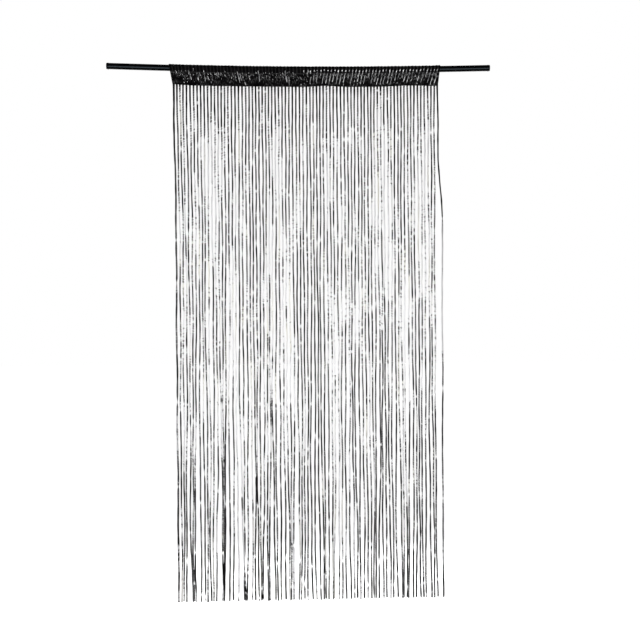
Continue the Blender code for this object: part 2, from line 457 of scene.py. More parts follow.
@dataclass(frozen=True)
class TapeFinish:
    """The strings' flat tape: its silver lies in long stretches, short flecks and fine dots, with painted
    highlights and painted shade laid over them.
    """

    yarn: Yarn = Yarn()
    flecks: StringNoise = StringNoise(40.0, 5.17, 2.3)
    fleck_start: float = 0.72
    dots: StringNoise = StringNoise(7.31, 6.1, 1.7, 0.0)
    dot_length: float = 0.0052
    dot_reach: float = 0.78
    stitch_pitch: float = 0.0034
    twist_pitch: float = 0.0092
    twist_reach: float = 0.20
    bead_places: StringNoise = StringNoise(7.0, 4.7, 1.9)
    bead_strength: float = 0.75
    warmth: StringNoise = StringNoise(2.0, 7.31, 1.0)
    wear: StringNoise = StringNoise(11.0, 3.9, 1.0, 2.0)
    # Painted shade: the grey that the tape's silver is blended to towards the hem
    dim_silver: Colour = (0.52, 0.51, 0.53)
    metal: float = 0.3

    def material(self) -> bpy.types.Material:
        """Builds it from the attributes along, across, side, number, plain, shine, fade and dull.

        Returns:
            The tape's material.
        """
        sh = Shading("string_tape")
        along = sh.attribute("along")
        across = sh.attribute("across")
        plain = sh.attribute("plain")
        fleck = self.flecks.read(sh, along)
        spark = fleck.rise(self.fleck_start, self.fleck_start + 0.03) * plain
        stitch = along * (math.tau / self.stitch_pitch) + across.size() * 2.4
        stitches = stitch.sine() * 0.5 + 0.5
        turn = along * (math.tau / self.twist_pitch) + across * 1.6 + sh.attribute("number") * 2.1
        twist = turn.sine() * 0.5 + 0.5
        loud = self.bead_places.read(sh, along).rise(0.42, 0.62)
        beads = twist**3 * loud * (self.bead_strength * plain)
        dots = self.dots.read(sh, (along * (1 / self.dot_length)).floor())
        speckle = (dots - 0.5) * self.dot_reach + (twist - 0.5) * self.twist_reach
        # Where the tape is silver, from shine: its own silver stretches, with painted highlights and
        # painted shade from the patches
        silver = (sh.attribute("shine") + speckle).rise(0.0, 0.06) * (0.1 + 0.9 * plain)
        mask = silver.most(spark).most(beads) * (0.80 + 0.20 * stitches)
        warm = self.warmth.read(sh, along).rise(0.52, 0.66)
        bright = sh.blend(warm, self.yarn.silver, self.yarn.warm_silver)
        # Painted shade: the silver is darkened towards the hem by the attribute dull
        film = sh.blend(sh.attribute("dull"), bright, self.dim_silver)
        worn = self.wear.read(sh, along).rise(0.30, 0.70) * sh.attribute("fade")
        cloth = sh.blend(worn, self.yarn.faded, self.yarn.worn)
        return sh.finish(
            Base_Color=sh.blend(mask, cloth, film),
            Metallic=mask * self.metal,
            Roughness=self.yarn.roughness(mask),
            Normal=sh.bump(stitches, 0.0004, 0.5),
            Specular_IOR_Level=self.yarn.lustre,
        )


@dataclass(frozen=True)
class KnitFinish:
    """The heading's cloth: black rib stitches, crossed by glints of silver between the ribs, with painted
    highlight lines in the valleys between the ribs over the rod.
    """

    yarn: Yarn = Yarn()
    stitch: float = 0.0028
    metal: float = 0.3
    net_top: tuple[float, float] = (-0.0185, -0.0165)
    net_middle: float = -0.0290
    net_half: tuple[float, float] = (0.006, 0.018)
    seam_level: float = -0.0170
    right_part: tuple[float, float] = (0.62, 0.90)
    slants: tuple[float, float] = (-0.25, 0.30)
    tone_scale: float = 60.0

    def material(self) -> bpy.types.Material:
        """Builds it from the attributes along, level and lane of the cloth.

        Returns:
            The knit's material.
        """
        sh = Shading("heading_knit")
        along = sh.attribute("along")
        level = sh.attribute("level")
        lane = sh.attribute("lane")
        below = 1 - level.rise(*self.net_top)
        right = along.rise(*self.right_part)
        up, down = self.slants
        rising = sh.grain(sh.vector((along + level * up) * 300.0, level * 110.0, 0.0), 1.0, 1.5)
        falling = sh.grain(sh.vector((along + level * down) * 300.0, level * 120.0, 7.0), 1.0, 1.5)
        chaos = rising.rise(0.56, 0.66).most(falling.rise(0.58, 0.68))
        patchy = sh.grain(sh.vector(along * 38.0, level * 60.0, 2.0), 1.0, 1.0).rise(0.35, 0.62)
        middle = 1 - (level - self.net_middle).size().rise(*self.net_half)
        net = chaos * patchy * (0.10 + 0.30 * middle * (0.35 + 0.65 * right)) * below
        # Painted highlight: faint silver lines painted in the valleys between the ribs over the rod stand
        # in for the light on the ribs' relief, brighter towards the right
        valley = ((lane * math.tau + math.pi / 2).sine() * -0.5 + 0.5) ** 5
        painted_rib_light = valley * (0.020 + 0.02 * right) * (1 - below)
        seam = (1 - (level - self.seam_level).size().rise(0.0004, 0.0014)) * 0.05
        mask = net.most(painted_rib_light).most(seam)
        loops = (level * (math.tau / self.stitch)).sine() * (lane * math.tau * 4).sine()
        place = sh.vector(along * self.tone_scale, level * self.tone_scale, 1.0)
        tone = sh.grain(place, 1.0, 3.0)
        cloth = sh.blend(tone.rise(0.40, 0.75), self.yarn.black, self.yarn.faded)
        return sh.finish(
            Base_Color=sh.blend(mask, cloth, self.yarn.silver),
            Metallic=mask * self.metal,
            Roughness=self.yarn.roughness(mask),
            Normal=sh.bump(loops * 0.5 + 0.5, 0.0005, 0.6),
            Specular_IOR_Level=self.yarn.lustre,
        )


@dataclass(frozen=True)
class FilmFinish:
    """The silver film thread on its own: thin, bright and a little crumpled."""

    yarn: Yarn = Yarn()
    dim_silver: Colour = (0.42, 0.42, 0.44)
    metal: float = 0.35
    crumple_scale: float = 900.0
    dull_scale: float = 70.0

    def material(self) -> bpy.types.Material:
        """Builds it: bright and dull stretches, crumpled all over.

        Returns:
            The film's material.
        """
        sh = Shading("silver_film")
        at = sh.place()
        crumple = sh.grain(at, self.crumple_scale, 2.0)
        dull = sh.grain(at, self.dull_scale, 2.0).rise(0.42, 0.62)
        return sh.finish(
            Base_Color=sh.blend(dull, self.yarn.silver, self.dim_silver),
            Metallic=self.metal,
            Roughness=0.30 + 0.15 * dull,
            Normal=sh.bump(crumple, 0.0002, 0.4),
        )


class Facing(Enum):
    """Which way a face or an end looks along the rod."""

    LEFT = -1
    RIGHT = 1


def deselect_all() -> None:
    """Leaves nothing selected in object mode."""
    bpy.ops.object.select_all(action="DESELECT")


def choose(obj: bpy.types.Object) -> None:
    """Makes one object the only one selected, and active.

    Args:
        obj: The object.
    """
    deselect_all()
    obj.select_set(True)
    bpy.context.view_layer.objects.active = obj


@contextmanager
def editing(obj: bpy.types.Object, by: str) -> Iterator[bmesh.types.BMesh]:
    """Edit mode on one object, with nothing selected at first.

    Args:
        obj: The object.
        by: VERT, EDGE or FACE, the selection mode.

    Yields:
        The mesh that is edited.
    """
    choose(obj)
    bpy.ops.object.mode_set(mode="EDIT")
    bpy.ops.mesh.select_mode(type=by)
    bpy.ops.mesh.select_all(action="DESELECT")
    yield bmesh.from_edit_mesh(obj.data)
    bpy.ops.object.mode_set(mode="OBJECT")


def select(bm: bmesh.types.BMesh, parts: Iterable, wanted: Callable[..., bool]) -> None:
    """Selects the vertices, edges or faces that answer a test.

    Args:
        bm: The mesh in edit mode.
        parts: Its vertices, its edges or its faces.
        wanted: The test, given one of them.
    """
    for part in parts:
        part.select_set(wanted(part))
    bm.select_flush_mode()


def select_edges(bm: bmesh.types.BMesh, wanted: Callable[[Vector, Vector], bool]) -> None:
    """Selects the edges whose two ends answer a test."""
    select(bm, bm.edges, lambda edge: wanted(edge.verts[0].co, edge.verts[1].co))


def settle(obj: bpy.types.Object) -> None:
    """Puts an object's place into its mesh, and leaves the object at the origin."""
    choose(obj)
    bpy.ops.object.transform_apply(location=True, rotation=True, scale=True)


def apply_modifiers(obj: bpy.types.Object) -> None:
    """Applies every modifier of an object, in order.

    Args:
        obj: The object.
    """
    choose(obj)
    for modifier in list(obj.modifiers):
        bpy.ops.object.modifier_apply(modifier=modifier.name)


def points_of(obj: bpy.types.Object) -> np.ndarray:
    """The places of an object's vertices.

    Args:
        obj: The object.

    Returns:
        One row for each vertex.
    """
    flat = np.empty(len(obj.data.vertices) * 3)
    obj.data.vertices.foreach_get("co", flat)
    return flat.reshape(-1, 3)


def move_points(obj: bpy.types.Object, points: np.ndarray) -> None:
    """Moves an object's vertices to new places, one row for each."""
    obj.data.vertices.foreach_set("co", points.ravel())
    obj.data.update()


def write_attribute(obj: bpy.types.Object, name: str, values: np.ndarray) -> None:
    """Stores one number for each vertex under a name."""
    made = obj.data.attributes.new(name, "FLOAT", "POINT")
    made.data.foreach_set("value", values.astype(np.float32))


def model_bar(cuts: int, taper: float) -> bpy.types.Object:
    """Models a straight bar from z 0 up to 1, one wide and one thick, tapered at both ends.

    Args:
        cuts: How many times it is cut across.
        taper: Its ends' size beside its middle's.

    Returns:
        The bar.
    """
    deselect_all()
    bpy.ops.mesh.primitive_cube_add(size=1, location=(0, 0, 0.5))
    bar = bpy.context.object
    settle(bar)
    with editing(bar, "EDGE") as bm:
        select_edges(bm, lambda a, b: abs(a.z - b.z) > 0.5)
        bpy.ops.mesh.subdivide(number_cuts=cuts)
    for end in (0.0, 1.0):
        with editing(bar, "VERT") as bm:
            select(bm, bm.verts, lambda vertex: abs(vertex.co.z - end) < TOUCH)
            bpy.ops.transform.resize(value=(taper, taper, 1), center_override=(0, 0, end))
    return bar


def repeat(obj: bpy.types.Object, count: int) -> np.ndarray:
    """Repeats a modelled pattern in place.

    Args:
        obj: The pattern, which becomes the copies.
        count: How many there are.

    Returns:
        The pattern's points.
    """
    unit = points_of(obj)
    copies = obj.modifiers.new("copies", "ARRAY")
    copies.count = count
    copies.use_relative_offset = False
    apply_modifiers(obj)
    return unit


def smooth_step(value: np.ndarray | float) -> np.ndarray | float:
    """0 below 0, 1 above 1, and a smooth rise between, for one number or many."""
    share = np.clip(value, 0.0, 1.0)
    return share * share * (3 - 2 * share)


def ease(value: np.ndarray | float, start: float, end: float) -> np.ndarray | float:
    """A smooth change from 0, where a value is start, to 1, where it is end, which may be below."""
    return smooth_step((value - start) / (end - start))


def part_way(pair: tuple[float, float], share: np.ndarray | float) -> np.ndarray | float:
    """A value between two, at a share of the way from the first to the second."""
    return pair[0] + (pair[1] - pair[0]) * share


def smooth(obj: bpy.types.Object, crease: float) -> None:
    """Shades an object smooth, except where its faces meet at more than so many degrees."""
    choose(obj)
    bpy.ops.object.shade_smooth_by_angle(angle=math.radians(crease))


def turn_outwards(obj: bpy.types.Object) -> None:
    """Turns all faces of an object to look out of it.

    Args:
        obj: The object.
    """
    with editing(obj, "FACE"):
        bpy.ops.mesh.select_all(action="SELECT")
        bpy.ops.mesh.normals_make_consistent(inside=False)


def dress(obj: bpy.types.Object, material: bpy.types.Material, stands_for: str) -> None:
    """Gives a finished piece its material and its body, and hides the solid that it stands for.

    Args:
        obj: The piece.
        material: Its finish.
        stands_for: The solid that it replaces.
    """
    obj.data.materials.clear()
    obj.data.materials.append(material)
    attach(obj, ROOT)
    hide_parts(stands_for)
    triangles = sum(len(face.vertices) - 2 for face in obj.data.polygons)
    LOG.info("%s: %d triangles", obj.name, triangles)


@dataclass
class Frame:
    """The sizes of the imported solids: four are read from their boxes, the rest are as in the solids."""

    rod_length: float
    rod_radius: float
    rod_bow: float
    hem: float
    bow_curve_middle: float = 0.3125
    count: int = 79
    pitch: float = 0.01262
    first_string: float = 0.2484
    string_width: float = 0.0048
    left_selvedge: float = 0.0022
    cloth_top: float = 0.0144
    strip_level: float = -0.0650

    @classmethod
    def read(cls) -> "Frame":
        """Reads the boxes of the rod and the strings.

        Returns:
            The sizes.
        """
        rod_low, rod_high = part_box("rod")
        strings_low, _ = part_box("strings")
        radius = rod_high.y
        return cls(rod_high.x, radius, -rod_low.z - radius, strings_low.z)

    @property
    def last_string(self) -> float:
        """Where the right outermost string leaves the heading."""
        return self.even_x(self.count - 1)

    def bow(self, x: np.ndarray | float) -> np.ndarray | float:
        """How far the rod's axis stands above the line between its ends, as under an even load."""
        along = x / self.rod_length
        return -self.rod_bow * (along - 2 * along**3 + along**4) / self.bow_curve_middle

    def even_x(self, number: float) -> float:
        """Where a string would leave the heading if the heading were stretched evenly."""
        return self.first_string + self.pitch * number

    def lane(self, x: np.ndarray | float) -> np.ndarray | float:
        """Which string belongs at a place on the evenly stretched heading, with shares between."""
        return (x - self.first_string) / self.pitch

    def drift(self, number: np.ndarray | float) -> np.ndarray | float:
        """How far strings, or places between them, stand to the right of their even places.

        Args:
            number: Counted from the left, with halves between two strings.

        Returns:
            The distances.
        """
        strings = np.array([string for string, _ in STRING_DRIFT], dtype=float)
        shifts = np.array([shift for _, shift in STRING_DRIFT])
        after = np.clip(np.searchsorted(strings, number), 1, len(strings) - 1)
        before = after - 1
        share = ease(number, strings[before], strings[after])
        return shifts[before] + (shifts[after] - shifts[before]) * share

    def string_x(self, number: int) -> float:
        """Where a string leaves the heading, along the rod."""
        return self.even_x(number) + float(self.drift(number))


@dataclass
class Rod:
    """The plain round tube, bowed by the curtain's weight, with a plug in each end."""

    frame: Frame
    sides: int = 64
    spans: int = 40
    coat: float = 0.0005
    plug: float = 0.0060
    seam: float = 0.0005
    rim: float = 0.0012
    face_rim: float = 0.0020
    dish_edge: float = 0.0015
    dish_depth: float = 0.0008
    crease: float = 40.0

    def build(self) -> bpy.types.Object:
        """Models the rod and dresses it.

        Returns:
            The rod.
        """
        frame = self.frame
        deselect_all()
        bpy.ops.mesh.primitive_cylinder_add(
            vertices=self.sides,
            radius=frame.rod_radius + self.coat,
            depth=frame.rod_length,
            location=(frame.rod_length / 2, 0, 0),
            rotation=(0, math.pi / 2, 0),
        )
        rod = bpy.context.object
        rod.name = "rod_tube"
        settle(rod)
        self._cut_spans(rod)
        for facing in Facing:
            self._fit_plug(rod, facing)
        points = points_of(rod)
        inset = np.minimum(points[:, 0], frame.rod_length - points[:, 0])
        write_attribute(rod, "plug", (inset < self.plug - self.seam / 2).astype(float))
        points[:, 2] += frame.bow(points[:, 0])
        move_points(rod, points)
        smooth(rod, self.crease)
        dress(rod, RodEnamel().material(), "rod")
        return rod

    def _cut_spans(self, rod: bpy.types.Object) -> None:
        """Cuts the tube across, so that it can bow, and where its plugs begin.

        Args:
            rod: The straight tube.
        """
        length = self.frame.rod_length
        cuts = [length * span / self.spans for span in range(1, self.spans)]
        for side in (self.plug, self.plug + self.seam):
            cuts += [side, length - side]
        with editing(rod, "FACE"):
            for x in cuts:
                bpy.ops.mesh.select_all(action="SELECT")
                bpy.ops.mesh.bisect(plane_co=(x, 0, 0), plane_no=(1, 0, 0))

    def _fit_plug(self, rod: bpy.types.Object, facing: Facing) -> None:
        """Rounds one end's rim, dishes its face, and sinks the seam behind the plug.

        Args:
            rod: The tube.
            facing: Which end.
        """
        end_x = 0.0 if facing is Facing.LEFT else self.frame.rod_length
        seam_x = end_x - facing.value * (self.plug + self.seam / 2)
        with editing(rod, "FACE") as bm:
            near = self.seam / 4
            in_seam = [face for face in bm.faces if abs(face.calc_center_median().x - seam_x) < near]
            select(bm, in_seam, lambda face: abs(face.normal.x) < SIDE_ON)
            bpy.ops.mesh.extrude_region_shrink_fatten(
                TRANSFORM_OT_shrink_fatten={"value": -self.seam}
            )
        with editing(rod, "EDGE") as bm:
            select_edges(bm, lambda a, b: max(abs(a.x - end_x), abs(b.x - end_x)) < TOUCH)
            bpy.ops.mesh.bevel(offset=self.rim, segments=4, affect="EDGES")
        with editing(rod, "FACE") as bm:
            select(bm, bm.faces, lambda face: face.normal.x * facing.value > END_ON)
            bpy.ops.mesh.inset(thickness=self.face_rim)
            bpy.ops.mesh.inset(thickness=self.dish_edge, depth=-self.dish_depth)


@dataclass
class Heading:
    """The knitted band that is folded over the rod, with a rib above every string."""

    frame: Frame
    columns: int = 8
    low_rows: int = 5
    wall_rows: int = 20
    arc_steps: int = 18
    foot_half_width: float = 0.0022
    reach: float = 0.0130
    cloth: float = 0.0010
    rib: float = 0.0015
    rib_width: float = 0.20
    inlay: float = 0.0005
    inlay_width: float = 0.12
    inlay_period: float = 0.021
    loop_height: float = 0.00012
    loop_pitch: float = 0.0065
    flare_left: float = 0.0135
    flare_right: float = 0.0085
    unevenness: float = 0.0005
    lumps: float = 45.0
    mouth_lump: float = 0.0010
    mouth_width: float = 0.015
    crease: float = 60.0
    foot: float = field(init=False)
    wall: float = field(init=False)
    lean: float = field(init=False)

    def __post_init__(self) -> None:
        """Works out the wall that runs from the foot up to where the cloth meets the rod."""
        self.foot = self.frame.strip_level
        distance = math.hypot(self.foot_half_width, self.foot)
        self.wall = math.sqrt(distance**2 - self.reach**2)
        towards_rod = math.atan2(-self.foot, self.foot_half_width)
        self.lean = towards_rod + math.asin(self.reach / distance)

    @property
    def arc(self) -> float:
        """The angle of the cloth that lies over the rod."""
        return 2 * self.lean

    @property
    def band(self) -> float:
        """The band's flat length, from the front foot over the rod to the back foot."""
        return 2 * self.wall + self.arc * self.reach

    def build(self) -> bpy.types.Object:
        """Models one pitch of the band, repeats it along the rod, and hangs it.

        Returns:
            The heading.
        """
        cloth = self._fold_one_pitch()
        self._raise_stitches(cloth)
        self._repeat(cloth)
        self._trim(cloth)
        self._hang(cloth)
        smooth(cloth, self.crease)
        cloth.name = "heading_band"
        dress(cloth, KnitFinish().material(), "heading")
        return cloth

    def _fold_one_pitch(self) -> bpy.types.Object:
        """Folds a strip one pitch wide over the rod: up the front, round, and down the back.

        Returns:
            The strip.
        """
        pitch = self.frame.pitch
        upwards = Vector((0, math.cos(self.lean), math.sin(self.lean)))
        start = Vector((self.frame.first_string, -self.foot_half_width, self.foot))
        deselect_all()
        bpy.ops.mesh.primitive_grid_add(
            x_subdivisions=self.columns,
            y_subdivisions=self.low_rows,
            size=pitch,
            location=start + upwards * (pitch / 2),
            rotation=(self.lean, 0, 0),
        )
        cloth = bpy.context.object
        settle(cloth)
        with editing(cloth, "EDGE") as bm:
            top = start.z + upwards.z * pitch
            select_edges(bm, lambda a, b: max(abs(a.z - top), abs(b.z - top)) < TOUCH)
            step = upwards * ((self.wall - pitch) / self.wall_rows)
            for _ in range(self.wall_rows):
                bpy.ops.mesh.extrude_region_move(TRANSFORM_OT_translate={"value": step})
            bpy.ops.mesh.spin(
                steps=self.arc_steps,
                angle=self.arc,
                center=(0, 0, 0),
                axis=(1, 0, 0),
            )
            rows = self.wall_rows + self.low_rows
            step = Vector((0, upwards.y, -upwards.z)) * (self.wall / rows)
            for _ in range(rows):
                bpy.ops.mesh.extrude_region_move(TRANSFORM_OT_translate={"value": step})
        return cloth

    def _outward(self, points: np.ndarray) -> tuple[np.ndarray, np.ndarray]:
        """How far each point lies along the folded band, and which way is out of the cloth there.

        Args:
            points: Places on the smooth band.

        Returns:
            The distances from the front foot, and one direction for each point.
        """
        y, z = points[:, 1], points[:, 2]
        rise = np.abs(y) * -math.cos(self.lean) + z * math.sin(self.lean)
        angle = np.arctan2(z, y)
        angle = np.where(angle < -math.pi / 2, angle + math.tau, angle)
        over = self.wall + (self.lean + math.pi / 2 - angle) * self.reach
        on_wall = np.where(y < 0, self.wall + rise, self.band - self.wall - rise)
        out = np.zeros_like(points)
        radius = np.hypot(y, z)
        out[:, 1] = np.where(rise >= 0, y / radius, np.sign(y) * math.sin(self.lean))
        out[:, 2] = np.where(rise >= 0, z / radius, math.cos(self.lean))
        return np.where(rise >= 0, over, on_wall), out

    def rib_share(self, x: np.ndarray) -> np.ndarray:
        """How much of a rib's height stands at each place along the straight band."""
        place = self.frame.lane(x)
        return np.exp(-(((place - np.round(place)) / self.rib_width) ** 2))

    def _raise_stitches(self, cloth: bpy.types.Object) -> None:
        """Raises the rib in the strip's middle and the inlay that zigzags from rib to rib.

        Args:
            cloth: The folded strip.
        """
        points = points_of(cloth)
        down, out = self._outward(points)
        place = self.frame.lane(points[:, 0])
        rib = self.rib_share(points[:, 0])
        wave = np.abs((down / self.inlay_period) % 1.0 - 0.5) * 2 - 0.5
        away = np.minimum(np.abs(place - wave), 1 - np.abs(place - wave))
        inlay = np.exp(-((away / self.inlay_width) ** 2))
        loops = self.loop_height * np.sin(down * math.tau / self.loop_pitch)
        raised = self.rib * rib + self.inlay * inlay * (1 - rib) + loops * rib
        move_points(cloth, points + out * raised[:, None])

    def _repeat(self, cloth: bpy.types.Object) -> None:
        """Repeats the strip for every string, and closes the foot.

        Args:
            cloth: The strip.
        """
        rows = cloth.modifiers.new("pitches", "ARRAY")
        rows.count = self.frame.count
        rows.use_relative_offset = False
        rows.use_constant_offset = True
        rows.constant_offset_displace = (self.frame.pitch, 0, 0)
        rows.use_merge_vertices = True
        rows.merge_threshold = TOUCH
        apply_modifiers(cloth)
        with editing(cloth, "EDGE") as bm:
            rims = [edge for edge in bm.edges if edge.is_boundary]
            level = self.foot + self.cloth * 0.6
            select(bm, rims, lambda edge: max(vertex.co.z for vertex in edge.verts) < level)
            bpy.ops.mesh.bridge_edge_loops()

    def _trim(self, cloth: bpy.types.Object) -> None:
        """Cuts the band off level with the outer strings, then thickens it inwards.

        Args:
            cloth: The band.
        """
        half = self.frame.string_width / 2
        cuts = (
            (self.frame.first_string - half - self.frame.left_selvedge, -1),
            (self.frame.last_string + half, 1),
        )
        with editing(cloth, "FACE"):
            for x, side in cuts:
                bpy.ops.mesh.select_all(action="SELECT")
                bpy.ops.mesh.bisect(plane_co=(x, 0, 0), plane_no=(side, 0, 0), clear_outer=True)
        turn_outwards(cloth)
        self._face_outwards(cloth)
        thick = cloth.modifiers.new("cloth", "SOLIDIFY")
        thick.thickness = self.cloth
        thick.offset = -1
        apply_modifiers(cloth)

    def _face_outwards(self, cloth: bpy.types.Object) -> None:
        """Turns the open tube's faces over if they look towards the rod.

        Args:
            cloth: The band.
        """
        outward = sum(
            face.normal.y * face.center.y * face.area for face in cloth.data.polygons
        )
        if outward < 0:
            with editing(cloth, "FACE"):
                bpy.ops.mesh.select_all(action="SELECT")
                bpy.ops.mesh.flip_normals()

    def _hang(self, cloth: bpy.types.Object) -> None:
        """Drapes the straight band, and keeps where each point lay on it.

        Args:
            cloth: The straight band.
        """
        points = points_of(cloth)
        write_attribute(cloth, "along", points[:, 0])
        write_attribute(cloth, "level", points[:, 2])
        write_attribute(cloth, "lane", self.frame.lane(points[:, 0]))
        move_points(cloth, self.drape(points))

    def drape(self, flat: np.ndarray) -> np.ndarray:
        """Spreads the top beyond the foot, bows the band with the rod, and makes it uneven.

        Args:
            flat: Places on or near the straight band.

        Returns:
            The same places on the hanging band.
        """
        frame = self.frame
        points = flat.copy()
        x, level = flat[:, 0], flat[:, 2]
        share = (level - self.foot) / (frame.cloth_top - self.foot)
        across = frame.lane(x) / (frame.count - 1)
        flare = self.flare_right * across - self.flare_left * (1 - across)
        points[:, 0] += frame.drift(frame.lane(x)) + flare * share
        for middle, width, rise in FOOT_WAVES:
            points[:, 2] += rise * np.exp(-(((x - middle) / width) ** 2)) * (1 - share).clip(0, 1)
        wide = self.mouth_width
        mouth = np.exp(-((across / wide) ** 2)) + np.exp(-(((1 - across) / wide) ** 2))
        points[:, 2] += self.mouth_lump * mouth * smooth_step(level / self.reach)
        for point in points:
            place = Vector((point[0], 0.0, point[2])) * self.lumps
            if point[2] < -frame.rod_radius:
                point[1] += self.unevenness * noise.noise(place)
            point[2] += self.unevenness * noise.noise(place + Vector((9, 4, 2)))
        points[:, 2] += frame.bow(points[:, 0])
        return points

    def front(self, x: np.ndarray, level: np.ndarray, height: np.ndarray) -> np.ndarray:
        """Places on the front of the straight band.

        Args:
            x: Along the rod.
            level: Above or below the rod's axis.
            height: How far out of the smooth cloth.

        Returns:
            One row (x, y, z) for each.
        """
        tangent = self.reach * math.cos(self.lean)
        on_arc = level > tangent
        angle = np.arcsin(np.clip(level / self.reach, -1, 1))
        run = (tangent - level) / math.sin(self.lean)
        y_wall = -self.reach * math.sin(self.lean) - run * math.cos(self.lean)
        y = np.where(on_arc, -np.cos(angle) * (self.reach + height), y_wall - height)
        z = np.where(on_arc, np.sin(angle) * (self.reach + height), level)
        return np.stack([x, y, z], axis=1)


@dataclass(frozen=True)
class Stitch:
    """One silver thread that lies on the heading."""

    x: float
    top: float
    length: float
    lean: float
    width: float


@dataclass
class HeadingThreads:
    """The silver threads that float over the heading's front and back, mostly between two ribs."""

    heading: Heading
    cuts: int = 5
    thickness: float = 0.0004
    lift: float = 0.0006
    thinnest: float = 0.45
    foot_margin: float = 0.0020
    long_width: float = 0.0020
    stray: float = 0.0030
    lean_spread: float = 0.12
    stray_shares: tuple[float, float] = (1.0, 0.4)
    lean_shares: tuple[float, float] = (2.0, 0.4)
    width_shares: tuple[float, float] = (0.8, 1.0)
    short_leaning: tuple[float, float] = (3.0, 0.8)
    slant: float = 0.15
    taper: float = 0.55
    tapered_length: float = 0.030
    tip: float = 0.3
    clearance: float = 0.0003
    change_over: tuple[float, float] = (0.45, 0.58)
    crease: float = 50.0

    def build(self) -> bpy.types.Object:
        """Models one thread, and lays a copy for every stitch.

        Returns:
            The threads.
        """
        stitches = self._stitches()
        threads = model_bar(self.cuts, self.tip)
        unit = repeat(threads, len(stitches) * 2)
        fronts = [self._lay(stitch, unit) for stitch in stitches]
        points = np.concatenate(fronts)
        backs = points * np.array([1.0, -1.0, 1.0])
        hung = self.heading.drape(np.concatenate([points, backs]))
        move_points(threads, hung)
        turn_outwards(threads)
        smooth(threads, self.crease)
        threads.name = "heading_threads"
        dress(threads, FilmFinish().material(), "heading")
        return threads

    def _lay(self, stitch: Stitch, unit: np.ndarray) -> np.ndarray:
        """Lays one thread on the straight band's front.

        Args:
            stitch: The thread.
            unit: The modelled bar's points.

        Returns:
            The thread's points.
        """
        down = 1 - unit[:, 2]
        level = stitch.top - stitch.length * down
        narrowed = 1 - self.taper * down * min(stitch.length / self.tapered_length, 1.0)
        x = stitch.x - stitch.lean * stitch.length * down + unit[:, 0] * stitch.width * narrowed
        arch = self.lift * np.sin(down * math.pi) + self.clearance
        arch = arch + self.heading.rib * self.heading.rib_share(x)
        return self.heading.front(x, level, arch + unit[:, 1] * self.thickness)

    def _stitches(self) -> list[Stitch]:
        """Draws the threads: few and scattered on the left, leaning and close on the right.

        Returns:
            The threads.
        """
        frame = self.heading.frame
        dice = random.Random(SEED + 400)
        made = [Stitch(*glint, self.long_width) for glint in LONG_GLINTS]
        for gap in range(frame.count - 1):
            middle = frame.even_x(gap + 0.5)
            share = gap / (frame.count - 2)
            right = float(ease(share, *self.change_over))
            for high, low, short, long, lean_left, lean_right, few, many, widest in THREAD_ZONES:
                for _ in range(int(part_way((few, many), right) + dice.random())):
                    top = dice.uniform(low, high)
                    stray = self.stray * part_way(self.stray_shares, right)
                    x = middle + stray * dice.uniform(-1, 1) + self.slant * top * right
                    power = part_way(self.short_leaning, right)
                    length = part_way((short, long), dice.random() ** power)
                    spread = self.lean_spread * part_way(self.lean_shares, right)
                    lean = part_way((lean_left, lean_right), right) + spread * dice.uniform(-1, 1)
                    length = min(length, top - self.heading.foot - self.foot_margin)
                    width = widest * dice.uniform(self.thinnest, 1)
                    width *= part_way(self.width_shares, right)
                    made.append(Stitch(x, top, length, lean, width))
        return made


@dataclass
class Hang:
    """How one string hangs. The draws follow the solids' own, so that the lines are the same."""

    frame: Frame
    number: int
    dice: random.Random
    root: float = field(init=False)
    top: float = field(init=False)
    length: float = field(init=False)

    def __post_init__(self) -> None:
        """Draws the string's layer, waves and cut length."""
        dice = self.dice
        self.root = self.frame.string_x(self.number)
        self.layer = self.number % LAYERS - 1
        self.depth = dice.uniform(*LAYER_DEPTH)
        self.long_wave = dice.uniform(*LONG_WAVE)
        self.middle_wave = dice.uniform(*MIDDLE_WAVE)
        self.long_phase = dice.uniform(0, math.tau)
        self.middle_phase = dice.uniform(0, math.tau)
        self.sway = dice.uniform(*SWAY)
        self.top = self.frame.strip_level + self.frame.bow(self.root)
        self.length = self.top - self.frame.hem - END_UNEVENNESS * dice.random()
        self.moves = [row[1:] for row in SWUNG_STRINGS if row[0] == self.number]
        self.pull = LEFT_PULL * smooth_step(1 - self.number / LEFT_PULLED)

    def centre(self, drop: np.ndarray) -> np.ndarray:
        """The string's middle.

        Args:
            drop: Distances below the heading.

        Returns:
            One row (x, y, z) for each.
        """
        share = drop / self.length
        freed = smooth_step(drop / LAYERS_PART_BY)
        long_turn = math.tau * drop / self.long_wave + self.long_phase
        middle_turn = math.tau * drop / self.middle_wave + self.middle_phase
        lean = self.sway * (np.sin(long_turn) + MIDDLE_SHARE * np.sin(middle_turn))
        for reach, wavelength, waves_down in GROUPINGS:
            lean = lean + reach * np.sin(math.tau * (self.root / wavelength + share * waves_down))
        x = self.root + freed * share * lean + self.pull * smooth_step(share / LEFT_PULL_BY)
        for move, begin, end in self.moves:
            x = x + move * ease(share, begin, end)
        y = self.layer * self.depth * freed
        return np.stack([x, y, self.top - drop], axis=1)


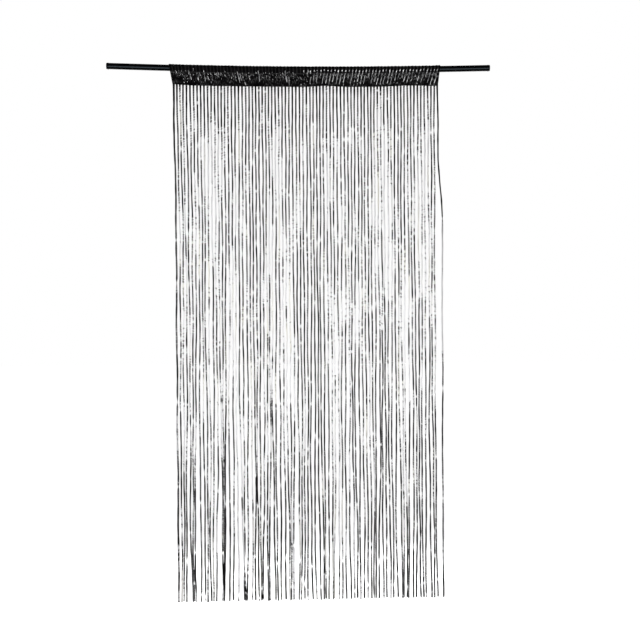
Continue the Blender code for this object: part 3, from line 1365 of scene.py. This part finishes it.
@dataclass
class Tape:
    """One string's flat tape: how it twists, swells and waves, and where it is silver, partly as painted
    highlight and painted shade.
    """

    hang: Hang
    width: float = 0.0060
    thickness: float = 0.0019
    left_edge_width: float = 1.2
    root_width: float = 0.25
    root_length: float = 0.030
    top_width: float = 0.10
    top_length: float = 0.30
    hem_width: float = 0.12
    pinch: float = 0.10
    pinch_waves: tuple[float, float] = (0.057, 0.023)
    short_pinch: float = 0.6
    flip_length: tuple[float, float] = (0.022, 0.050)
    flip_every: tuple[float, float] = (0.12, 0.60)
    wobble: float = 0.30
    wobble_waves: tuple[float, float] = (0.09, 0.16)
    still_until: float = 0.05
    meander: tuple[float, float] = (0.0011, 0.0003)
    long_waves: tuple[float, float] = (0.30, 0.60)
    short_waves: tuple[float, float] = (0.08, 0.14)
    freed_by: float = 0.12
    silver_start: float = 0.17
    silver_start_top: float = 0.80
    top_zone: tuple[float, float] = (-0.07, -0.30)
    # How much of the painted highlight and shade patches joins each tape's own silver
    painted_glint_share: float = 0.50
    stretches: tuple[float, float] = (0.20, 0.06)
    short_stretches: float = 0.3
    flips: list[tuple[float, float, int]] = field(default_factory=list)

    def __post_init__(self) -> None:
        """Draws the tape's flips and waves."""
        dice = random.Random(SEED + 1 + self.hang.number)
        at = dice.uniform(*self.flip_every)
        while at < self.hang.length:
            length = dice.uniform(*self.flip_length)
            self.flips.append((at, length, dice.choice((-1, 1))))
            at += length + dice.uniform(*self.flip_every)
        self.wobble_wave = dice.uniform(*self.wobble_waves)
        self.long_wave = dice.uniform(*self.long_waves)
        self.short_wave = dice.uniform(*self.short_waves)
        self.phases = [dice.uniform(0, math.tau) for _ in range(4)]

    @property
    def outermost(self) -> bool:
        """Whether it hangs at either edge of the curtain."""
        return self.hang.number in (0, self.hang.frame.count - 1)

    def turn(self, drop: np.ndarray) -> np.ndarray:
        """The tape's twist: nearly flat to the front, with quick half turns between.

        Args:
            drop: Distances below the heading.

        Returns:
            Radians, one for each.
        """
        turn = np.zeros_like(drop)
        for at, length, way in self.flips:
            turn += way * math.pi * ease(drop, at, at + length)
        waves = np.sin(drop * math.tau / self.wobble_wave + self.phases[0])
        return turn + smooth_step(drop / self.still_until) * self.wobble * waves

    def size(self, drop: np.ndarray) -> np.ndarray:
        """The tape's width beside its usual width: it swells and pinches, and spreads at its root.

        Args:
            drop: Distances below the heading.

        Returns:
            Shares, one for each.
        """
        long_wave, short_wave = self.pinch_waves
        size = 1 + self.pinch * np.sin(drop * math.tau / long_wave + self.phases[1])
        waves = np.sin(drop * math.tau / short_wave + self.phases[1] * 2)
        size += self.pinch * self.short_pinch * waves
        size += self.root_width * (1 - smooth_step(drop / self.root_length))
        size += self.top_width * (1 - smooth_step(drop / self.top_length))
        size += self.hem_width * smooth_step(drop / self.hang.length * 2 - 1)
        return size * (self.left_edge_width if self.hang.number == 0 else 1.0)

    def place(self, drop: np.ndarray, across: np.ndarray, through: np.ndarray) -> np.ndarray:
        """Places on or near the tape.

        Args:
            drop: Distances below the heading.
            across: From one edge, -1, to the other, 1.
            through: From the back, -1, to the front, 1.

        Returns:
            One row (x, y, z) for each.
        """
        hang = self.hang
        turn = self.turn(drop)
        wide = across * self.width / 2 * self.size(drop)
        deep = through * self.thickness / 2
        points = hang.centre(np.maximum(drop, 0.0))
        long_reach, short_reach = self.meander
        waves = long_reach * np.sin(drop * math.tau / self.long_wave + self.phases[2])
        waves += short_reach * np.sin(drop * math.tau / self.short_wave + self.phases[3])
        points[:, 0] += waves * smooth_step(drop / self.freed_by)
        points[:, 0] += wide * np.cos(turn) - deep * np.sin(turn)
        points[:, 1] += wide * np.sin(turn) + deep * np.cos(turn)
        points[:, 2] = hang.top - drop
        return points

    def shine(self, drop: np.ndarray, side: np.ndarray) -> np.ndarray:
        """How far each place is on the silver side of the line between black and silver, with the painted
        highlights and painted shade of the patches added.

        Args:
            drop: Distances below the heading.
            side: Which face of the tape each place is on.

        Returns:
            Values above 0 where it is silver.
        """
        hang = self.hang
        level = hang.top - drop
        near = np.zeros_like(drop)
        # Painted highlights and painted shade: each patch adds silver to the tapes at its place on the
        # curtain, or takes it away
        for x, z, half_width, half_height, strength in PAINTED_GLINT_PATCHES:
            away = ((hang.root - x) / half_width) ** 2 + ((level - z) / half_height) ** 2
            near += strength * np.exp(-away)
        own = np.empty_like(drop)
        long, short = self.stretches
        for index, (down, face) in enumerate(zip(drop, side)):
            slow = Vector((hang.number * 7.3, down / long, face * 3.1))
            quick = Vector((hang.number * 5.1, down / short, face * 2.3))
            own[index] = noise.noise(slow) + self.short_stretches * noise.noise(quick)
        lowered = ease(level, *self.top_zone)
        start = part_way((self.silver_start_top, self.silver_start), lowered)
        return own + self.painted_glint_share * near - start


@dataclass
class Strings:
    """The 79 flat tapes, which twist as they hang."""

    tapes: list[Tape]
    sides: int = 8
    rings: int = 240
    tucked: float = 0.007
    groups: int = 3
    fade_from: tuple[float, float] = (-0.10, -0.25)
    fade_until: tuple[float, float] = (-1.45, -1.80)
    edges_silver_between: tuple[float, float] = (-0.40, -0.75)
    edges_silver: float = 0.75
    # Painted shade: the strings' silver is painted darker between these heights, by at most this share
    painted_shade_between: tuple[float, float] = (-0.80, -1.80)
    painted_shade_most: float = 0.45
    crease: float = 70.0

    def build(self) -> list[bpy.types.Object]:
        """Models one tape, hangs a copy of it for each string, and joins them in groups.

        Returns:
            The joined groups, from the left.
        """
        pattern = self._model_tape()
        material = TapeFinish().material()
        pieces = []
        for group in range(self.groups):
            first = len(self.tapes) * group // self.groups
            last = len(self.tapes) * (group + 1) // self.groups
            copies = [self._hang_copy(pattern, tape) for tape in self.tapes[first:last]]
            pieces.append(self._join(copies, f"strings_{group + 1}", material))
        bpy.data.objects.remove(pattern)
        return pieces

    def _model_tape(self) -> bpy.types.Object:
        """Models one straight tape of unit half width and half thickness, from z 0 down to -1.

        Returns:
            The tape.
        """
        deselect_all()
        bpy.ops.mesh.primitive_cylinder_add(
            vertices=self.sides,
            radius=1,
            depth=1,
            location=(0, 0, -0.5),
            rotation=(0, 0, math.pi / self.sides),
        )
        tape = bpy.context.object
        settle(tape)
        with editing(tape, "EDGE") as bm:
            select_edges(bm, lambda a, b: abs(a.z - b.z) > 0.5)
            bpy.ops.mesh.subdivide(number_cuts=self.rings - 1)
        return tape

    def _hang_copy(self, pattern: bpy.types.Object, tape: Tape) -> bpy.types.Object:
        """Copies the modelled tape with its own mesh, and hangs it along its string's line.

        Args:
            pattern: The straight tape.
            tape: How this one hangs.

        Returns:
            The hung tape.
        """
        copy = pattern.copy()
        copy.data = pattern.data.copy()
        bpy.context.scene.collection.objects.link(copy)
        unit = points_of(pattern)
        side = np.sign(unit[:, 1])
        drop = -unit[:, 2] * (tape.hang.length + self.tucked) - self.tucked
        move_points(copy, tape.place(drop, unit[:, 0], unit[:, 1]))
        level = tape.hang.top - drop
        plain = np.ones(len(unit))
        if tape.outermost:
            plain = self.edges_silver * ease(level, *self.edges_silver_between)
        faded = ease(level, *self.fade_from) * (1 - ease(level, *self.fade_until))
        attributes = {
            "along": drop,
            "across": unit[:, 0],
            "side": side,
            "number": np.full(len(unit), float(tape.hang.number)),
            "plain": plain,
            "shine": tape.shine(drop, side),
            "fade": faded * plain,
            # Painted shade: darker silver towards the hem
            "dull": self.painted_shade_most * ease(level, *self.painted_shade_between),
        }
        for name, values in attributes.items():
            write_attribute(copy, name, values)
        return copy

    def _join(
        self, copies: list[bpy.types.Object], name: str, material: bpy.types.Material
    ) -> bpy.types.Object:
        """Joins hung tapes into one piece and dresses it.

        Args:
            copies: The tapes.
            name: The piece's name.
            material: Its finish.

        Returns:
            The piece.
        """
        choose(copies[0])
        for copy in copies:
            copy.select_set(True)
        bpy.ops.object.join()
        piece = bpy.context.object
        piece.name = name
        smooth(piece, self.crease)
        dress(piece, material, "strings")
        return piece


@dataclass
class Windings:
    """The silver film that is wound round the tapes where their black turns to silver."""

    tapes: list[Tape]
    pitch: float = 0.0076
    steps: int = 6
    width: float = 0.0011
    thickness: float = 0.00025
    stand_off: float = 1.16
    window: tuple[float, float] = (-0.26, -0.02)
    gate: float = 0.02
    gate_length: float = 0.11
    ends_bare: tuple[float, float] = (0.03, 0.02)
    edge_share: float = 0.4
    shortest: int = 3

    def build(self) -> bpy.types.Object:
        """Models one turn of film, and winds a copy for every turn.

        Returns:
            The windings.
        """
        turns = [(tape, drop) for tape in self.tapes for drop in self._turns_on(tape)]
        film = model_bar(self.steps - 1, 1.0)
        unit = repeat(film, len(turns))
        wound = [self._wind(tape, drop, unit) for tape, drop in turns]
        move_points(film, np.concatenate(wound))
        turn_outwards(film)
        film.name = "film_windings"
        dress(film, FilmFinish().material(), "strings")
        return film

    def _turns_on(self, tape: Tape) -> list[float]:
        """Where turns begin on one tape.

        Args:
            tape: The tape.

        Returns:
            Distances below the heading.
        """
        if tape.outermost:
            return []
        top, bottom = self.ends_bare
        drops = np.arange(top, tape.hang.length - bottom, self.pitch)
        shine = tape.shine(drops, np.zeros_like(drops))
        low, high = self.window
        found, run = [], []
        for drop, value in zip(drops, shine):
            place = Vector((tape.hang.number * 2.7, drop / self.gate_length, 40.0))
            if low < value < high and noise.noise(place) > self.gate:
                run.append(float(drop))
            else:
                found += run if len(run) >= self.shortest else []
                run = []
        return found

    def _wind(self, tape: Tape, drop: float, unit: np.ndarray) -> np.ndarray:
        """Winds one turn round a tape.

        Args:
            tape: The tape.
            drop: Where the turn begins.
            unit: The modelled bar's points.

        Returns:
            The turn's points.
        """
        along = unit[:, 2]
        angle = math.pi - along * math.tau
        off = self.stand_off + unit[:, 1] * self.thickness / (tape.thickness / 2)
        down = drop + along * self.pitch + unit[:, 0] * self.width
        beside = 1 + (off - 1) * self.edge_share
        return tape.place(down, np.cos(angle) * beside, np.sin(angle) * off)


@dataclass(frozen=True)
class Softbox:
    """A soft light beside, before or behind the rod's middle, that faces the curtain along Y."""

    name: str
    place: tuple[float, float, float]
    size: tuple[float, float]
    brightness: float

    def light(self, middle: float) -> None:
        """Adds it, as bright for its size as its brightness beside the white surroundings.

        Args:
            middle: Where the rod's middle is, along the rod.
        """
        data = bpy.data.lights.new(self.name, "AREA")
        data.shape = "RECTANGLE"
        data.size, data.size_y = self.size
        data.energy = self.brightness * math.pi * data.size * data.size_y
        light = bpy.data.objects.new(self.name, data)
        tilt = math.pi / 2 if self.place[1] < 0 else -math.pi / 2
        place = Vector(self.place) + Vector((middle, 0, 0))
        light.matrix_world = Matrix.Translation(place) @ Matrix.Rotation(tilt, 4, "X")
        bpy.context.scene.collection.objects.link(light)


@dataclass
class Studio:
    """The floor, the lights, the white surroundings and the photograph's camera."""

    frame: Frame
    camera_place: tuple[float, float, float] = (0.58913, -3.99515, -0.94569)
    camera_yaw: float = 2.822
    camera_roll: float = -0.36
    lens: float = 60.16
    floor_level: float = -2.35
    floor_size: float = 60.0
    dim: float = 0.035
    softboxes: tuple[Softbox, ...] = (
        Softbox("front_light", (-0.1, -2.8, -1.3), (4.4, 1.5), 4.2),
        Softbox("back_light", (0.0, 2.8, -1.0), (4.0, 1.6), 2.6),
    )

    def build(self) -> None:
        """Sets the scene up round the object."""
        self._camera()
        self._surroundings()
        self._floor()
        for softbox in self.softboxes:
            softbox.light(self.frame.rod_length / 2)
        bpy.context.scene.view_settings.view_transform = "Standard"

    def _camera(self) -> None:
        """Places the camera as the photograph's was."""
        data = bpy.data.cameras.new("photo_camera")
        data.lens = self.lens
        camera = bpy.data.objects.new("photo_camera", data)
        turn = Matrix.Rotation(-math.radians(self.camera_yaw), 4, "Z")
        level = Matrix.Rotation(math.pi / 2, 4, "X")
        roll = Matrix.Rotation(math.radians(self.camera_roll), 4, "Z")
        camera.matrix_world = Matrix.Translation(self.camera_place) @ turn @ level @ roll
        bpy.context.scene.collection.objects.link(camera)
        bpy.context.scene.camera = camera

    def _surroundings(self) -> None:
        """White where the camera looks past the object, and a dim room for what lights it."""
        world = bpy.data.worlds.new("white_studio")
        bpy.context.scene.world = world
        world.use_nodes = True
        tree = world.node_tree
        seen = tree.nodes.new("ShaderNodeLightPath")
        share = tree.nodes.new("ShaderNodeMapRange")
        share.inputs["To Min"].default_value = self.dim
        share.inputs["To Max"].default_value = 1.0
        tree.links.new(seen.outputs["Is Camera Ray"], share.inputs["Value"])
        background = tree.nodes["Background"]
        background.inputs["Color"].default_value = (1.0, 1.0, 1.0, 1.0)
        tree.links.new(share.outputs["Result"], background.inputs["Strength"])

    def _floor(self) -> None:
        """A plain floor, as white as the surroundings, well below the hem."""
        deselect_all()
        bpy.ops.mesh.primitive_plane_add(
            size=self.floor_size,
            location=(self.frame.rod_length / 2, 0, self.floor_level),
        )
        floor = bpy.context.object
        floor.name = "floor"
        shading = Shading("pale_floor")
        floor.data.materials.append(
            shading.finish(
                Base_Color=(0.9, 0.9, 0.9),
                Emission_Color=(1.0, 1.0, 1.0),
                Emission_Strength=1.0,
            )
        )
        floor.visible_diffuse = False
        floor.visible_glossy = False


def main() -> None:
    """Builds the pieces in order, then the studio."""
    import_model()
    frame = Frame.read()
    rod = Rod(frame).build()
    heading = Heading(frame)
    band = heading.build()
    threads = HeadingThreads(heading).build()
    dice = random.Random(SEED)
    tapes = [Tape(Hang(frame, number, dice)) for number in range(frame.count)]
    strings = Strings(tapes).build()
    windings = Windings(tapes).build()
    width = frame.last_string - frame.first_string + frame.string_width + frame.left_selvedge
    heading.band
    Studio(frame).build()


if __name__ == "__main__":
    main()
